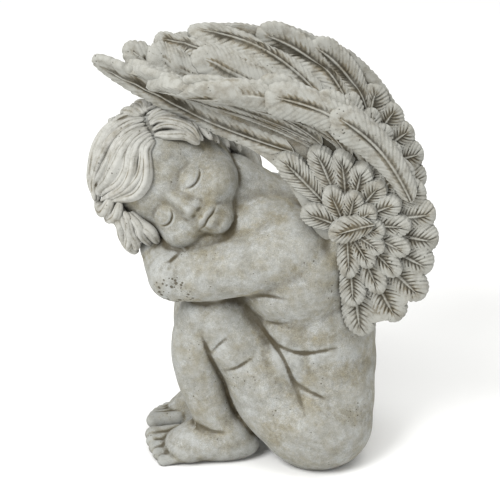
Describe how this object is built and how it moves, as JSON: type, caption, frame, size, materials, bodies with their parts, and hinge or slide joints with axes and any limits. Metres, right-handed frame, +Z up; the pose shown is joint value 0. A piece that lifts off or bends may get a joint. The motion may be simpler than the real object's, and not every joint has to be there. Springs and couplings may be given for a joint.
{
  "type": "angel figurine",
  "caption": "Sleeping winged child, seated with knees drawn up and its head on its folded arms; a cast-stone garden or shelf ornament.",
  "frame": {"origin": "centre of the bounding box, at the underside", "axes": "+Z up. The child's knees point to -X and its back to +X. Its face is turned to -Y, its left side."},
  "size_m": [0.2402, 0.1308, 0.2998],
  "materials": {
    "cast_stone": "matt, weathered"
  },
  "bodies": {
    "root": {"cherub_figurine": "cast_stone"}
  },
  "joints": []
}
